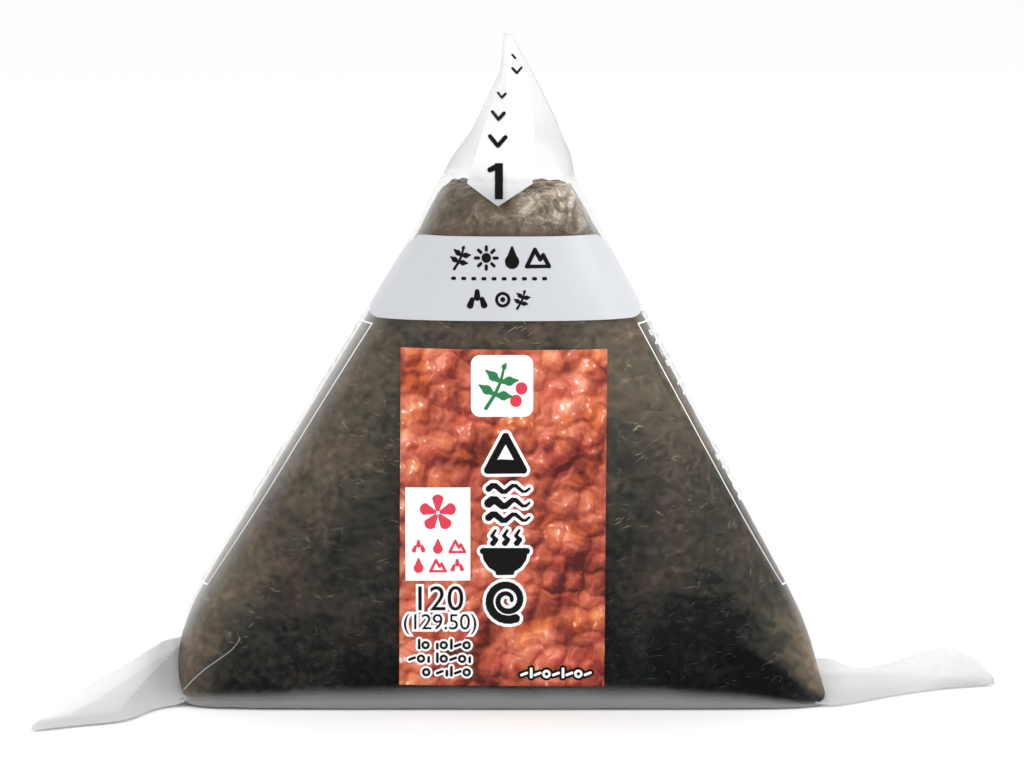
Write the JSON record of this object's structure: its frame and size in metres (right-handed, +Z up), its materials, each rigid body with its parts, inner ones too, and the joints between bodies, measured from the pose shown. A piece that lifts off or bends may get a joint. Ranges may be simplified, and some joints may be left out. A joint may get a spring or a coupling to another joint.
{
  "type": "wrapped onigiri rice ball",
  "caption": "Triangular rice ball in roasted seaweed, sealed in clear film with a pointed top, folded film ears at the lower corners, a pale band, a tear strip and a paper label.",
  "frame": {"origin": "middle of the flat base that the wrapped rice ball stands on", "axes": "+Z up to the film's point, the front with the label faces -Y, +X to the right as seen from the front"},
  "size_m": [0.1405, 0.047, 0.0974],
  "materials": {
    "seaweed": "roasted seaweed sheet, fibrous, satin under film",
    "film": "clear glossy film",
    "white_film": "film printed white, soft gloss",
    "band_print": "pale grey-lavender print on glossy film",
    "strip": "white tear strip, soft gloss",
    "label": "coated paper with an orange-brown printed ground",
    "dark_print": "black print",
    "white_print": "white print",
    "red_print": "red print"
  },
  "bodies": {
    "root": {"seaweed_ball": "seaweed", "film_point": "film", "film_ear_left": "film", "film_ear_right": "white_film", "print_band": "band_print", "tear_strip": "strip", "paper_label": "label"}
  },
  "joints": []
}
